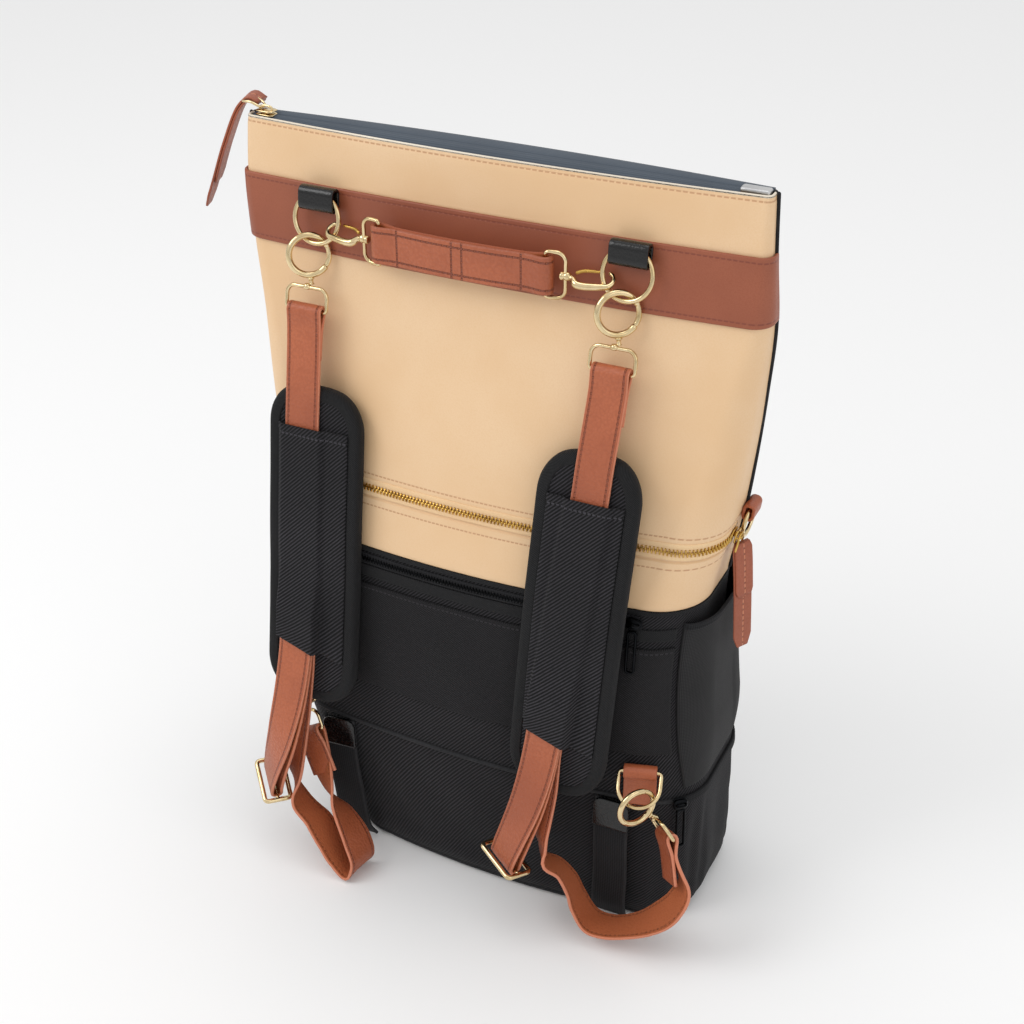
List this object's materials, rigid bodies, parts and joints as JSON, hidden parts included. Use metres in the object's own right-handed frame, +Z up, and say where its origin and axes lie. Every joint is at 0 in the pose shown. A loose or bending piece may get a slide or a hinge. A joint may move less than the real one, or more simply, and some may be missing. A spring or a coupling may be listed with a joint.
{
  "type": "convertible backpack",
  "caption": "Tall bag with a pale leather upper, a black cloth lower body with zips and side pockets, padded shoulder straps and a short handle on metal rings.",
  "frame": {"origin": "on the floor under the middle of the base", "axes": "+Z up the bag to its zipped top, -Y out of the strap side, +X to the right when the strap side is seen"},
  "size_m": [0.4017, 0.1928, 0.5401],
  "materials": {
    "tan_leather": "pale pebbled leather, satin",
    "brown_leather": "smooth brown leather, satin",
    "cognac_leather": "pebbled leather with painted edges",
    "black_leather": "glossy black leather",
    "black_twill": "ribbed twill, matt",
    "black_knit": "fine stretch cloth, matt",
    "slate_tape": "woven zip tape, matt",
    "pale_gold": "polished pale gold plate",
    "zip_gold": "polished gold zip teeth",
    "black_metal": "black painted zip metal"
  },
  "bodies": {
    "bag": {"upper_back_panel": "tan_leather", "upper_front_panel": "black_twill", "lower_compartment": "black_twill", "middle_body": "black_twill", "zip_closure": "slate_tape", "top_zip_pull": "cognac_leather", "leather_band": "brown_leather", "gold_zip": "zip_gold", "black_zip": "black_metal", "lower_zip": "black_metal", "gold_zip_pull": "cognac_leather", "back_sleeve_panel": "black_twill", "side_pocket_right": "black_knit", "side_pocket_left": "black_knit", "bottom_strip_left": "black_leather", "bottom_strip_right": "black_leather", "ring_tab_left": "black_leather", "ring_tab_right": "black_leather", "o_ring_left": "pale_gold", "o_ring_right": "pale_gold", "gate_ring_upper_left": "pale_gold", "swivel_loop_upper_left": "pale_gold", "gate_ring_upper_right": "pale_gold", "swivel_loop_upper_right": "pale_gold", "pad_left": "black_twill", "pad_right": "black_twill", "pad_sleeve_left": "black_knit", "pad_sleeve_right": "black_knit", "buckle_left": "pale_gold", "buckle_right": "pale_gold", "strap_upper_left": "cognac_leather", "strap_upper_right": "cognac_leather", "d_tab_left": "cognac_leather", "d_tab_right": "cognac_leather", "d_ring_left": "pale_gold", "d_ring_right": "pale_gold", "gate_ring_lower_left": "pale_gold", "swivel_loop_lower_left": "pale_gold", "gate_ring_lower_right": "pale_gold", "swivel_loop_lower_right": "pale_gold", "strap_lower_left": "cognac_leather", "strap_lower_right": "cognac_leather", "snap_hook_left": "pale_gold", "snap_hook_right": "pale_gold", "handle": "cognac_leather", "side_tab_left": "cognac_leather", "side_ring_left": "pale_gold", "side_tab_right": "cognac_leather", "side_ring_right": "pale_gold"},
    "gate_upper_left": {"gate_upper_left": "pale_gold"},
    "gate_upper_right": {"gate_upper_right": "pale_gold"},
    "gate_lower_left": {"gate_lower_left": "pale_gold"},
    "gate_lower_right": {"gate_lower_right": "pale_gold"},
    "snap_lever_left": {"snap_lever_left": "pale_gold"},
    "snap_lever_right": {"snap_lever_right": "pale_gold"},
    "black_zip_pull": {"black_zip_pull": "black_metal"},
    "lower_zip_pull": {"lower_zip_pull": "black_metal"}
  },
  "joints": [
    {"name": "gate_upper_left_hinge", "type": "hinge", "parent": "bag", "child": "gate_upper_left", "pos_m": [-0.11238, -0.031, 0.45782], "axis": [0.5764, -0.7934, 0.1955], "range_deg": [-8, 0]},
    {"name": "gate_upper_right_hinge", "type": "hinge", "parent": "bag", "child": "gate_upper_right", "pos_m": [0.1006, -0.03195, 0.45794], "axis": [0.5757, -0.7924, 0.2018], "range_deg": [-8, 0]},
    {"name": "gate_lower_left_hinge", "type": "hinge", "parent": "bag", "child": "gate_lower_left", "pos_m": [-0.1199, -0.06938, 0.13487], "axis": [0.3746, -0.9272, 0], "range_deg": [-8, 0]},
    {"name": "gate_lower_right_hinge", "type": "hinge", "parent": "bag", "child": "gate_lower_right", "pos_m": [0.13526, -0.0786, 0.13302], "axis": [0.809, -0.5878, 0], "range_deg": [-8, 0]},
    {"name": "snap_lever_left_hinge", "type": "hinge", "parent": "bag", "child": "snap_lever_left", "pos_m": [-0.08677, -0.03391, 0.47235], "axis": [-0.1125, -0.5624, 0.8192], "range_deg": [0, 8]},
    {"name": "snap_lever_right_hinge", "type": "hinge", "parent": "bag", "child": "snap_lever_right", "pos_m": [0.06277, -0.03475, 0.47243], "axis": [-0.1125, 0.5624, -0.8192], "range_deg": [0, 8]},
    {"name": "black_zip_pull_hinge", "type": "hinge", "parent": "bag", "child": "black_zip_pull", "pos_m": [0.11714, -0.0607, 0.2443], "axis": [0.9808, 0.1951, 0], "range_deg": [-80, 0]},
    {"name": "lower_zip_pull_hinge", "type": "hinge", "parent": "bag", "child": "lower_zip_pull", "pos_m": [0.15316, -0.053, 0.1028], "axis": [0.7071, 0.7071, 0], "range_deg": [-80, 0]}
  ]
}
